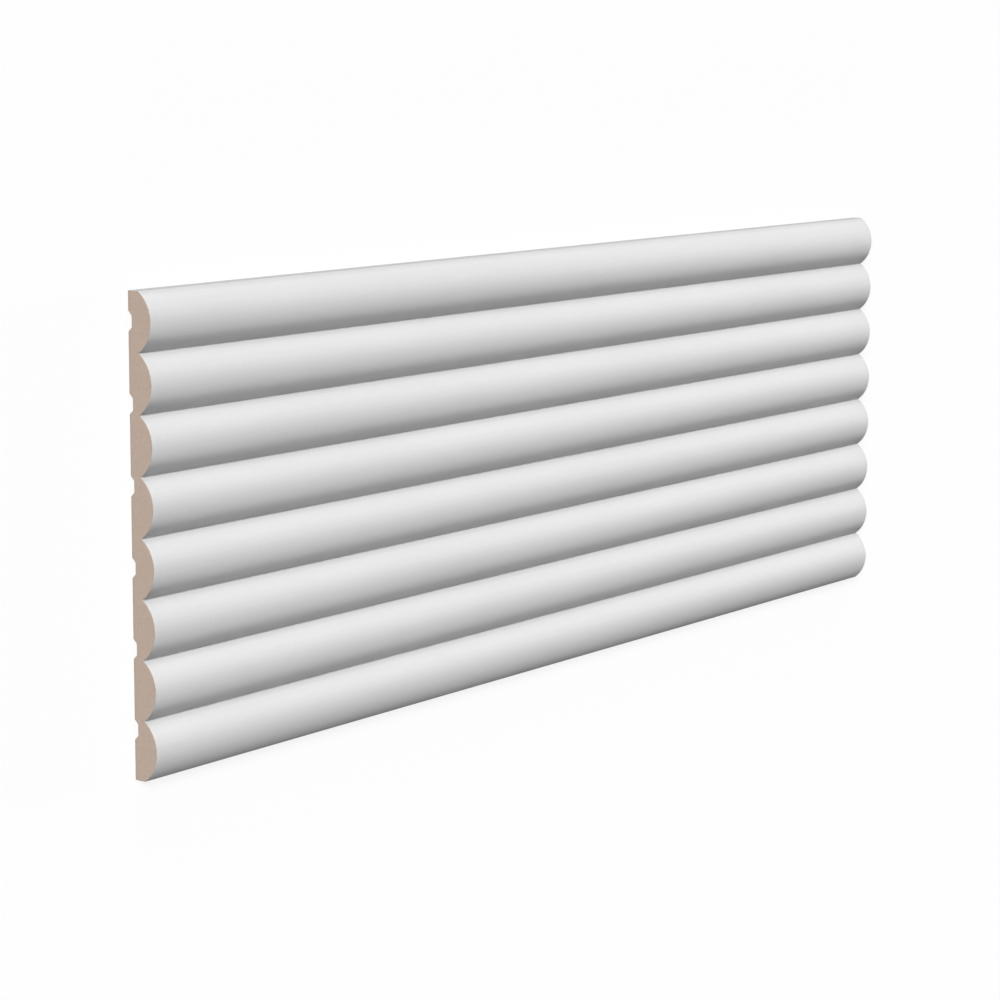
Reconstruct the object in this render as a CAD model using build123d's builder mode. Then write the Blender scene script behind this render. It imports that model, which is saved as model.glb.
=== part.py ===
from build123d import *
import os

# Fluted wall panel, machined out of one board of MDF. Millimetres.
# It lies on its back: +X runs along the reeds, +Y across them and +Z out of the reeded front.
# The origin is the middle of the back, in the plane that the panel rests on.

# Board
panel_length = 560.0
board_thickness = 12.0  # from the back to the crowns, as the board is before it is machined

# Reeds: round ridges side by side on the front, with a sharp valley between them
reed_count = 8
reed_pitch = 24.75  # from valley to valley
reed_height = 6.6  # how far the cutter goes down from a crown to a valley
arris_radius = 0.5  # the eased corner between a long edge and the outermost reed

# Relief grooves in the back, which let the board lie flat and give the glue a key
groove_count = 6
groove_mouth = 8.4  # across the groove in the plane of the back
groove_depth = 1.8
groove_side_angle = 45.0  # between a groove's side and the back
first_groove_inset = 12.2  # from the +Y edge to the middle of the nearest groove
last_groove_inset = 20.8  # from the -Y edge to the middle of the nearest groove

panel_width = reed_count * reed_pitch
edge_y = panel_width / 2
edge_height = board_thickness - reed_height  # of the long edges, as high as the valleys between
grooved_width = panel_width - first_groove_inset - last_groove_inset
groove_spacing = grooved_width / (groove_count - 1)
grooves_middle_y = (last_groove_inset - first_groove_inset) / 2


def reed_feet():
    """The two ends of each reed's arc, as points of the section from the +Y edge to the -Y edge."""
    valleys = [edge_y - number * reed_pitch for number in range(reed_count + 1)]
    return [((high, edge_height), (low, edge_height)) for high, low in zip(valleys, valleys[1:])]


with BuildPart() as panel:
    with BuildSketch(Plane.YZ) as section:
        with BuildLine():
            back = Line((-edge_y, 0), (edge_y, 0))
            Line(back @ 1, (edge_y, edge_height))
            for upper_foot, lower_foot in reed_feet():
                SagittaArc(upper_foot, lower_foot, -reed_height)
            Line((-edge_y, edge_height), back @ 0)
        make_face()
        long_edges = section.edges().filter_by(Axis.Y)
        arrises = [edge.vertices().sort_by(Axis.Y)[-1] for edge in long_edges]
        fillet(arrises, radius=arris_radius)
        with Locations((grooves_middle_y, 0)):
            with GridLocations(groove_spacing, 0, groove_count, 1):
                Trapezoid(
                    groove_mouth,
                    groove_depth,
                    groove_side_angle,
                    align=(Align.CENTER, Align.MIN),
                    mode=Mode.SUBTRACT,
                )
    extrude(amount=panel_length / 2, both=True)

os.makedirs("parts", exist_ok=True)
panel.part.label = "panel"
export_step(panel.part, "parts/panel.step")
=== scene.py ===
from math import asin, cos, pi, radians, sin
from typing import NamedTuple

import bpy
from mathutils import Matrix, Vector


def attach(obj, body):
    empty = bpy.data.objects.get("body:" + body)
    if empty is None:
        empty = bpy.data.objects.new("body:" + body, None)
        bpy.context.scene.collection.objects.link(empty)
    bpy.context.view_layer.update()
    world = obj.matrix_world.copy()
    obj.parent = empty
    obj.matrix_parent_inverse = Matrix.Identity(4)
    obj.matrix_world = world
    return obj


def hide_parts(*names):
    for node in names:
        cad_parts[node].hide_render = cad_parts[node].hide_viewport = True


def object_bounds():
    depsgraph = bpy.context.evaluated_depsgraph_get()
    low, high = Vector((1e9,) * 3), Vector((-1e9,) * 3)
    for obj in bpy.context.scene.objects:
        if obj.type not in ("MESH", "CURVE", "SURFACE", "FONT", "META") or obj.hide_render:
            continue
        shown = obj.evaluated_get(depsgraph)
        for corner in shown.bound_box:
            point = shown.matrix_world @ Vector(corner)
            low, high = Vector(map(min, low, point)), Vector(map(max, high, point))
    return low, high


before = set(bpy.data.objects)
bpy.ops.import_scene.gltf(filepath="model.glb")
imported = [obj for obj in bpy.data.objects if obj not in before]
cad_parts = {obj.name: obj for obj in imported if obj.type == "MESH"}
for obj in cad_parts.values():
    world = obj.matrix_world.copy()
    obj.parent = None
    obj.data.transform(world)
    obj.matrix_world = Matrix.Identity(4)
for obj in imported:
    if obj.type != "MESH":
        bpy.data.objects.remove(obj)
cad_low, cad_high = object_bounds()

# Lengths are in metres, unless a comment says millimetres. The panel lies on its back: +X runs
# along the reeds, +Y across them and +Z out of the reeded front.
MM = 0.001

# The panel's section. Its overall sizes come from the frame, and these are its own.
REED_COUNT = 8
REED_HEIGHT = 6.6 * MM
ARRIS_RADIUS = 0.5 * MM
VALLEY_RADIUS = 0.12 * MM  # paint that has gathered in a valley
GROOVE_COUNT = 6
GROOVE_MOUTH = 8.4 * MM
GROOVE_DEPTH = 1.8 * MM
GROOVE_SLOPE = 1.8 * MM  # how far a groove's side leans in, over its depth
FIRST_GROOVE_INSET = 12.2 * MM  # from the +Y edge to the groove's middle
LAST_GROOVE_INSET = 20.8 * MM  # from the -Y edge to the groove's middle
END_ARRIS = 0.12 * MM  # the broken edge that sanding leaves round a sawn end

# How finely it is drawn
REED_STEPS = 48
ARRIS_STEPS = 4
VALLEY_STEPS = 6
STATION_SPACING = 20 * MM
SHARP_ANGLE = radians(30)

# Places in the panel's list of materials
PAINTED, SAWN, BACK = range(3)


class Mark(NamedTuple):
    """One kind of mark in a coat, and how much it changes the coat."""

    size: tuple  # along X, Y and Z, in millimetres
    seed: int
    detail: float  # how many finer sizes are mixed in
    shade: float = 0  # the share of the colour's brightness that it adds or takes away
    gloss: float = 0  # the share of the roughness that it adds or takes away
    depth: float = 0  # of its relief, in millimetres


NOISE_RANGE = (0.3, 0.7)  # where a noise mostly lies

# The paint. Its marks are sized as real ones are.
PAINT_COLOUR = (0.65, 0.65, 0.65)
PAINT_ROUGHNESS = 0.58
CLOUD = Mark((90, 30, 30), seed=1, detail=2, shade=0.012, gloss=0.05)
PEEL = Mark((2.4, 1.8, 1.8), seed=2, detail=1, gloss=0.08, depth=0.04)
PAINT_FIBRE = Mark((0.7, 0.3, 0.3), seed=3, detail=2, shade=0.012, gloss=0.08, depth=0.03)
CUTTER_LINE = Mark((160, 0.7, 0.7), seed=4, detail=1, shade=0.008, depth=0.02)
KNIFE_PITCH = 2.1 * MM  # between the marks that the turning cutter leaves across the reeds
KNIFE_DEPTH = 0.0022  # from a mark's middle height to its top or bottom, in millimetres
KNIFE_WANDER = 9.0  # radians, how far the marks stray from an even pitch
PAINTED_VALLEY_SHADE = 0.85  # painted shade: how bright the paint is made along each valley, against the rest
PAINTED_VALLEY_SHADE_REACH = 2.4 * MM  # how far the painted shade reaches up from a valley, in height
CHIP = Mark((1.1, 0.8, 0.8), seed=5, detail=3, depth=0.06)  # where the saw has chipped the paint
CHIP_NOISE = (0.42, 0.68)  # where the noise has the shortest and the longest chips
CHIP_REACH = (0.06 * MM, 0.3 * MM)  # how far those two go in from the end
CHIP_ROUGHER = 0.4  # added to the roughness where the paint is gone

# The sawn ends
SAWN_COLOUR = (0.428, 0.337, 0.279)
SAWN_ROUGHNESS = 0.88
SAWN_FIBRE = Mark((0.5, 1.8, 0.2), seed=11, detail=2, shade=0.09, gloss=0.06, depth=0.06)
SAWN_CLUMP = Mark((4, 4.5, 1.1), seed=12, detail=2, shade=0.03)
SAWN_SPECK = Mark((0.4, 0.6, 0.3), seed=13, detail=1, shade=0.2, depth=0.03)
SAW_LINE = Mark((3, 0.35, 25), seed=14, detail=1, shade=0.02, depth=0.03)
SPECK_NOISE = (0.62, 0.72)  # where the noise begins to be a dark speck, and is a full one
DENSE_SKIN = 1.6 * MM  # the darker, closer-pressed layer under each face of the board
DENSE_SHADE = 0.93  # how bright its outside is, against the rest
DENSE_ROUGHNESS = 0.92  # how rough its outside is, against the rest

# The back
BACK_COLOUR = (0.36, 0.275, 0.215)
BACK_ROUGHNESS = 0.68
BACK_FIBRE = Mark((0.9, 0.35, 0.3), seed=21, detail=3, shade=0.09, gloss=0.06, depth=0.02)
BACK_CLUMP = Mark((9, 6, 6), seed=22, detail=2, shade=0.04)
HANDLING = Mark((140, 90, 90), seed=23, detail=3, shade=0.04)
SANDING = Mark((70, 0.5, 0.5), seed=24, detail=1, shade=0.03, depth=0.012)
BACK_SPECK = Mark((0.6, 0.6, 0.4), seed=25, detail=1, shade=0.22)
GROOVE_START = (0.05 * MM, 0.25 * MM)  # the heights between which the sanded finish gives out
GROOVE_SHADE = 1.1  # how bright a groove is, against the sanded back
GROOVE_ROUGHNESS = 1.3  # how rough a groove is, against the sanded back
FUZZ_DEPTH = 0.08  # of the fibres raised in a groove, in millimetres
CREEP = Mark((7, 2, 2), seed=26, detail=5)  # the ragged edge of paint that has crept round
CREEP_NOISE = (0.38, 0.7)  # where the noise has paint creep least and furthest
CREEP_REACH = 1.4 * MM  # how far paint has crept round on to the back, at most
CREEP_FADE = 0.4 * MM

# The floor and the world look white, but throw little light back on the panel.
WHITE = (1, 1, 1, 1)
FLOOR_SIZE = 40
FLOOR_Z = -0.05 * MM  # clear of the panel's back
FLOOR_COLOUR = (0.12, 0.12, 0.12, 1)
FLOOR_GLOW_SEEN = 0.875
FLOOR_GLOW_FELT = 0.03
WORLD_SEEN = 1.0
WORLD_FELT = 0.015

# The camera stands as far from the panel, and turned as far, as in the photograph.
CAMERA_PLACE = (-1.1144, 0.2032, 0.8174)
CAMERA_TURN = 52.81  # degrees away from looking straight at the front
CAMERA_DIP = 7.88  # degrees down towards the -Y edge
CAMERA_ROLL = 0.07  # degrees
FOCAL_LENGTH = 106.17  # in millimetres
SENSOR_WIDTH = 36.0  # in millimetres
CAMERA_SHIFT = -0.0681  # upwards, as a share of the sensor's width


# The section

class Section:
    """The panel's outline across its length, as (y, z) points."""

    def __init__(self, low, high):
        self.half_width = high.y
        self.thickness = high.z
        self.pitch = (high.y - low.y) / REED_COUNT
        half_pitch = self.pitch / 2
        self.reed_radius = (half_pitch**2 + REED_HEIGHT**2) / (2 * REED_HEIGHT)
        self.reed_centre_z = self.thickness - self.reed_radius
        self.valley_z = self.thickness - REED_HEIGHT
        # where the outermost reed meets its eased arris, and where a reed meets a valley
        self.arris_angle = asin((half_pitch - ARRIS_RADIUS) / (self.reed_radius - ARRIS_RADIUS))
        self.valley_angle = asin(half_pitch / (self.reed_radius + VALLEY_RADIUS))

    def reed_centre_y(self, number):
        return self.half_width - (number + 0.5) * self.pitch

    def front(self):
        """From the +Y arris to the -Y arris."""
        points = self.arris(1)
        last = REED_COUNT - 1
        for number in range(REED_COUNT):
            start = self.arris_angle if number == 0 else self.valley_angle
            end = -self.arris_angle if number == last else -self.valley_angle
            centre = (self.reed_centre_y(number), self.reed_centre_z)
            points += arc(centre, self.reed_radius, start, end, REED_STEPS)
            if number < last:
                points += self.valley(number)
        return points + self.arris(-1)[::-1]

    def arris(self, side):
        """The eased corner on the +Y side (1) or the -Y side (-1), without its last point."""
        reach = self.reed_radius - ARRIS_RADIUS
        y = self.half_width - ARRIS_RADIUS
        z = self.reed_centre_z + reach * cos(self.arris_angle)
        corner = arc((y, z), ARRIS_RADIUS, pi / 2, self.arris_angle, ARRIS_STEPS)[:-1]
        return [(side * y, z) for y, z in corner]

    def valley(self, number):
        """The rounded foot between a reed and the next one down, without its two end points."""
        y = self.half_width - (number + 1) * self.pitch
        reach = self.reed_radius + VALLEY_RADIUS
        z = self.reed_centre_z + reach * cos(self.valley_angle)
        hollow = arc((y, z), -VALLEY_RADIUS, -self.valley_angle, self.valley_angle, VALLEY_STEPS)
        return hollow[1:-1]

    def back(self):
        """From the -Y edge to the +Y edge, down into each groove and out again."""
        points = [(-self.half_width, 0)]
        first = self.half_width - FIRST_GROOVE_INSET
        last = -self.half_width + LAST_GROOVE_INSET
        spacing = (first - last) / (GROOVE_COUNT - 1)
        half_mouth = GROOVE_MOUTH / 2
        half_floor = half_mouth - GROOVE_SLOPE
        for number in range(GROOVE_COUNT):
            middle = last + number * spacing
            points += [
                (middle - half_mouth, 0),
                (middle - half_floor, GROOVE_DEPTH),
                (middle + half_floor, GROOVE_DEPTH),
                (middle + half_mouth, 0),
            ]
        return points + [(self.half_width, 0)]


def arc(centre, radius, start, end, steps):
    """Points (y, z) at angles from +Z, positive towards +Y."""
    turns = [start + (end - start) * step / steps for step in range(steps + 1)]
    return [(centre[0] + radius * sin(turn), centre[1] + radius * cos(turn)) for turn in turns]


def pushed_in(points, depth):
    """A closed outline's points, each moved into the material so that its sides lie that deep."""
    moved = []
    for index, (y, z) in enumerate(points):
        before = Vector((y, z)) - Vector(points[index - 1])
        after = Vector(points[(index + 1) % len(points)]) - Vector((y, z))
        inward = [Vector((-side.y, side.x)).normalized() for side in (before, after)]
        middle = (inward[0] + inward[1]).normalized()
        reach = depth / middle.dot(inward[0])
        moved.append((y + middle.x * reach, z + middle.y * reach))
    return moved


# The panel

def panel_mesh(section, low, high):
    """The section swept along the length, closed by two sawn ends with a broken edge."""
    front = section.front()
    outline = front + section.back()
    shrunk = pushed_in(outline, END_ARRIS)
    start = low.x + END_ARRIS
    length = high.x - low.x - 2 * END_ARRIS
    spans = round(length / STATION_SPACING)
    rings = [(low.x, shrunk)]
    rings += [(start + length * span / spans, outline) for span in range(spans + 1)]
    rings += [(high.x, shrunk)]
    vertices = [(x, y, z) for x, ring in rings for y, z in ring]

    count = len(outline)
    last_band = len(rings) - 2
    faces = []
    coats = []
    for band in range(len(rings) - 1):
        broken_edge = band in (0, last_band)
        for point in range(count):
            beside = (point + 1) % count
            near = band * count
            far = near + count
            faces.append((near + point, near + beside, far + beside, far + point))
            painted = point < len(front) or point == count - 1
            coats.append(SAWN if broken_edge else PAINTED if painted else BACK)
    last_ring = (len(rings) - 1) * count
    faces.append(tuple(reversed(range(count))))
    faces.append(tuple(range(last_ring, last_ring + count)))
    coats += [SAWN, SAWN]

    mesh = bpy.data.meshes.new("fluted_panel")
    mesh.from_pydata(vertices, [], faces)
    mesh.polygons.foreach_set("material_index", coats)
    mesh.polygons.foreach_set("use_smooth", [True] * len(faces))
    mesh.set_sharp_from_angle(angle=SHARP_ANGLE)
    mesh.validate()
    return mesh


# The coats

class Coat:
    """A material in the making, with short ways to add the nodes that the panel's coats need."""

    def __init__(self, name):
        self.material = bpy.data.materials.new(name)
        self.material.use_nodes = True
        self.tree = self.material.node_tree
        self.shader = self.tree.nodes["Principled BSDF"]
        self.place = self.tree.nodes.new("ShaderNodeTexCoord").outputs["Object"]
        self.x, self.y, self.z = self.add("ShaderNodeSeparateXYZ", {"Vector": self.place}).outputs

    def add(self, kind, inputs, **settings):
        """A new node. inputs says what each socket, by name or number, is set to or fed by."""
        node = self.tree.nodes.new(kind)
        for name, value in settings.items():
            setattr(node, name, value)
        for name, value in inputs.items():
            self.feed(node.inputs[name], value)
        return node

    def feed(self, socket, value):
        if isinstance(value, bpy.types.NodeSocket):
            self.tree.links.new(value, socket)
        else:
            socket.default_value = value

    def math(self, operation, first, second=0.0):
        return self.add("ShaderNodeMath", {0: first, 1: second}, operation=operation).outputs[0]

    def remap(self, value, before, after):
        """Takes value from the range before to the range after, and no further."""
        inputs = {"Value": value, "From Min": before[0], "From Max": before[1]}
        inputs |= {"To Min": after[0], "To Max": after[1]}
        return self.add("ShaderNodeMapRange", inputs).outputs["Result"]

    def noise(self, mark):
        """Cloudy noise in blobs of the mark's size."""
        scale = [1 / (length * MM) for length in mark.size]
        spread = self.add("ShaderNodeVectorMath", {0: self.place, 1: scale}, operation="MULTIPLY")
        inputs = {"Vector": spread.outputs[0], "W": mark.seed, "Scale": 1.0, "Detail": mark.detail}
        return self.add("ShaderNodeTexNoise", inputs, noise_dimensions="4D").outputs[0]

    def vary(self, noise, amount):
        """1, give or take amount, as the noise goes up and down."""
        return self.remap(noise, NOISE_RANGE, (1 - amount, 1 + amount))

    def product(self, *values):
        result = values[0]
        for value in values[1:]:
            result = self.math("MULTIPLY", result, value)
        return result

    def shade(self, colour, brightness):
        inputs = {0: colour, "Scale": brightness}
        return self.add("ShaderNodeVectorMath", inputs, operation="SCALE").outputs[0]

    def blend(self, factor, first, second):
        """The colour first where factor is 0, and second where it is 1."""
        node = self.tree.nodes.new("ShaderNodeMix")
        node.data_type = "RGBA"
        colours = [socket for socket in node.inputs if socket.type == "RGBA"]
        self.feed(node.inputs[0], factor)
        self.feed(colours[0], first)
        self.feed(colours[1], second)
        return [socket for socket in node.outputs if socket.type == "RGBA"][0]

    def bump(self, height, depth, under=None):
        """A normal for a relief: its height is in units of depth, which is in millimetres."""
        inputs = {"Height": height, "Distance": depth * MM, "Strength": 1.0}
        if under:
            inputs["Normal"] = under
        return self.add("ShaderNodeBump", inputs).outputs["Normal"]

    def finish(self, colour, roughness, normal):
        self.feed(self.shader.inputs["Base Color"], colour)
        self.feed(self.shader.inputs["Roughness"], roughness)
        self.feed(self.shader.inputs["Normal"], normal)
        return self.material


def painted_coat(section, half_length):
    """Sprayed satin paint over machined MDF, with the cutter's lines faintly in it and painted
    shade darkening each valley.
    """
    coat = Coat("satin_paint")
    cloud = coat.noise(CLOUD)
    peel = coat.noise(PEEL)
    fibre = coat.noise(PAINT_FIBRE)
    cutter_lines = coat.noise(CUTTER_LINE)
    knife_phase = coat.math("MULTIPLY", coat.x, 2 * pi / KNIFE_PITCH)
    knife_wander = coat.math("MULTIPLY", cloud, KNIFE_WANDER)
    knife_marks = coat.math("SINE", coat.math("ADD", knife_phase, knife_wander))

    # Painted shade: the paint's colour is darkened towards each valley's foot, as shade would
    # darken it.
    from_valley = coat.math("ABSOLUTE", coat.math("SUBTRACT", coat.z, section.valley_z))
    painted_valley_shade = coat.remap(from_valley, (0, PAINTED_VALLEY_SHADE_REACH), (PAINTED_VALLEY_SHADE, 1))
    brightness = coat.product(
        painted_valley_shade,
        coat.vary(cloud, CLOUD.shade),
        coat.vary(cutter_lines, CUTTER_LINE.shade),
        coat.vary(fibre, PAINT_FIBRE.shade),
    )
    paint = coat.shade(PAINT_COLOUR, brightness)

    from_end = coat.math("SUBTRACT", half_length, coat.math("ABSOLUTE", coat.x))
    chip_reach = coat.remap(coat.noise(CHIP), CHIP_NOISE, CHIP_REACH)
    chipped = coat.math("LESS_THAN", from_end, chip_reach)
    colour = coat.blend(chipped, paint, (*SAWN_COLOUR, 1))

    roughness = coat.product(
        PAINT_ROUGHNESS,
        coat.vary(peel, PEEL.gloss),
        coat.vary(fibre, PAINT_FIBRE.gloss),
        coat.vary(cloud, CLOUD.gloss),
    )
    roughness = coat.math("ADD", roughness, coat.math("MULTIPLY", chipped, CHIP_ROUGHER))
    normal = coat.bump(knife_marks, KNIFE_DEPTH)
    normal = coat.bump(cutter_lines, CUTTER_LINE.depth, normal)
    normal = coat.bump(peel, PEEL.depth, normal)
    normal = coat.bump(fibre, PAINT_FIBRE.depth, normal)
    normal = coat.bump(coat.math("SUBTRACT", 1.0, chipped), CHIP.depth, normal)
    return coat.finish(colour, roughness, normal)


def sawn_coat(section):
    """MDF cut across: felted fibres lying along the board, darker near the board's two faces."""
    coat = Coat("sawn_mdf")
    fibre = coat.noise(SAWN_FIBRE)
    clump = coat.noise(SAWN_CLUMP)
    speck = coat.noise(SAWN_SPECK)
    saw_line = coat.noise(SAW_LINE)

    from_front = coat.math("SUBTRACT", section.thickness, coat.z)
    from_face = coat.math("MINIMUM", coat.z, from_front)
    dense = coat.remap(from_face, (0, DENSE_SKIN), (DENSE_SHADE, 1))
    brightness = coat.product(
        dense,
        coat.remap(speck, SPECK_NOISE, (1, 1 - SAWN_SPECK.shade)),
        coat.vary(fibre, SAWN_FIBRE.shade),
        coat.vary(clump, SAWN_CLUMP.shade),
        coat.vary(saw_line, SAW_LINE.shade),
    )
    colour = coat.shade(SAWN_COLOUR, brightness)

    roughness = coat.product(
        SAWN_ROUGHNESS,
        coat.vary(fibre, SAWN_FIBRE.gloss),
        coat.remap(dense, (DENSE_SHADE, 1), (DENSE_ROUGHNESS, 1)),
    )
    normal = coat.bump(saw_line, SAW_LINE.depth)
    normal = coat.bump(fibre, SAWN_FIBRE.depth, normal)
    normal = coat.bump(speck, SAWN_SPECK.depth, normal)
    return coat.finish(colour, roughness, normal)


def back_coat(section):
    """Bare MDF, sanded flat, fuzzier in its grooves, with paint crept round its long edges."""
    coat = Coat("mdf_back")
    fibre = coat.noise(BACK_FIBRE)
    clump = coat.noise(BACK_CLUMP)
    handling = coat.noise(HANDLING)
    sanding = coat.noise(SANDING)
    speck = coat.noise(BACK_SPECK)

    in_groove = coat.remap(coat.z, GROOVE_START, (0, 1))
    brightness = coat.product(
        coat.remap(speck, SPECK_NOISE, (1, 1 - BACK_SPECK.shade)),
        coat.vary(fibre, BACK_FIBRE.shade),
        coat.vary(clump, BACK_CLUMP.shade),
        coat.vary(handling, HANDLING.shade),
        coat.vary(sanding, SANDING.shade),
        coat.remap(in_groove, (0, 1), (1, GROOVE_SHADE)),
    )
    bare = coat.shade(BACK_COLOUR, brightness)

    from_edge = coat.math("SUBTRACT", section.half_width, coat.math("ABSOLUTE", coat.y))
    creep_reach = coat.remap(coat.noise(CREEP), CREEP_NOISE, (0, CREEP_REACH))
    past_creep = coat.math("SUBTRACT", from_edge, creep_reach)
    covered = coat.remap(past_creep, (0, CREEP_FADE), (1, 0))
    colour = coat.blend(covered, bare, (*PAINT_COLOUR, 1))

    roughness = coat.product(
        BACK_ROUGHNESS,
        coat.vary(fibre, BACK_FIBRE.gloss),
        coat.remap(in_groove, (0, 1), (1, GROOVE_ROUGHNESS)),
    )
    normal = coat.bump(sanding, SANDING.depth)
    normal = coat.bump(fibre, BACK_FIBRE.depth, normal)
    fuzz = coat.math("MULTIPLY", in_groove, fibre)
    normal = coat.bump(fuzz, FUZZ_DEPTH, normal)
    return coat.finish(colour, roughness, normal)


section = Section(cad_low, cad_high)
panel = bpy.data.objects.new("fluted_panel", panel_mesh(section, cad_low, cad_high))
bpy.context.scene.collection.objects.link(panel)
for material in (painted_coat(section, cad_high.x), sawn_coat(section), back_coat(section)):
    panel.data.materials.append(material)
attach(panel, "root")
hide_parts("panel")


# The studio

def seen_or_felt(tree, seen, felt):
    """A strength that is one number where the camera looks and another as light on the panel."""
    rays = tree.nodes.new("ShaderNodeLightPath")
    strength = tree.nodes.new("ShaderNodeMapRange")
    strength.inputs["To Min"].default_value = felt
    strength.inputs["To Max"].default_value = seen
    tree.links.new(rays.outputs["Is Camera Ray"], strength.inputs["Value"])
    return strength.outputs["Result"]


def add_floor():
    half = FLOOR_SIZE / 2
    mesh = bpy.data.meshes.new("floor")
    corners = [(-half, -half), (half, -half), (half, half), (-half, half)]
    mesh.from_pydata([(x, y, FLOOR_Z) for x, y in corners], [], [(0, 1, 2, 3)])
    floor = bpy.data.objects.new("floor", mesh)
    bpy.context.scene.collection.objects.link(floor)
    material = bpy.data.materials.new("floor")
    material.use_nodes = True
    tree = material.node_tree
    shader = tree.nodes["Principled BSDF"]
    shader.inputs["Base Color"].default_value = FLOOR_COLOUR
    shader.inputs["Specular IOR Level"].default_value = 0
    shader.inputs["Emission Color"].default_value = WHITE
    glow = seen_or_felt(tree, FLOOR_GLOW_SEEN, FLOOR_GLOW_FELT)
    tree.links.new(glow, shader.inputs["Emission Strength"])
    mesh.materials.append(material)


def add_world():
    world = bpy.data.worlds.new("studio")
    bpy.context.scene.world = world
    world.use_nodes = True
    background = world.node_tree.nodes["Background"]
    background.inputs["Color"].default_value = WHITE
    strength = seen_or_felt(world.node_tree, WORLD_SEEN, WORLD_FELT)
    world.node_tree.links.new(strength, background.inputs["Strength"])


def add_sun(name, tilt, swing, strength, softness, highlights=True):
    """A distant light, in degrees off straight above: tilt towards +Y, then swing towards +X.

    Its strength is how bright it makes a white surface that faces it. Without highlights it
    lights the paint but isn't mirrored in it.
    """
    light = bpy.data.lights.new(name, "SUN")
    light.energy = strength * pi
    light.angle = radians(softness)
    sun = bpy.data.objects.new(name, light)
    bpy.context.scene.collection.objects.link(sun)
    tilt = radians(tilt)
    swing = radians(swing)
    direction = Vector((sin(swing), cos(swing) * sin(tilt), cos(swing) * cos(tilt)))
    sun.rotation_mode = "QUATERNION"
    sun.rotation_quaternion = direction.to_track_quat("Z", "Y")
    sun.visible_glossy = highlights


def add_camera():
    data = bpy.data.cameras.new("camera")
    data.sensor_width = SENSOR_WIDTH
    data.lens = FOCAL_LENGTH
    data.shift_y = CAMERA_SHIFT
    camera = bpy.data.objects.new("camera", data)
    bpy.context.scene.collection.objects.link(camera)
    camera.location = CAMERA_PLACE
    camera.rotation_mode = "ZXY"
    camera.rotation_euler = (radians(-CAMERA_DIP), radians(-CAMERA_TURN), radians(CAMERA_ROLL))
    bpy.context.scene.camera = camera


add_floor()
add_world()
add_sun("key", tilt=40, swing=-43, strength=1.478, softness=20)
add_sun("side", tilt=75, swing=0, strength=0.215, softness=25)
add_sun("low_side", tilt=-86, swing=0, strength=0.265, softness=8, highlights=False)
add_sun("far_end", tilt=0, swing=88, strength=0.8, softness=10)
add_camera()
bpy.context.scene.view_settings.view_transform = "Standard"
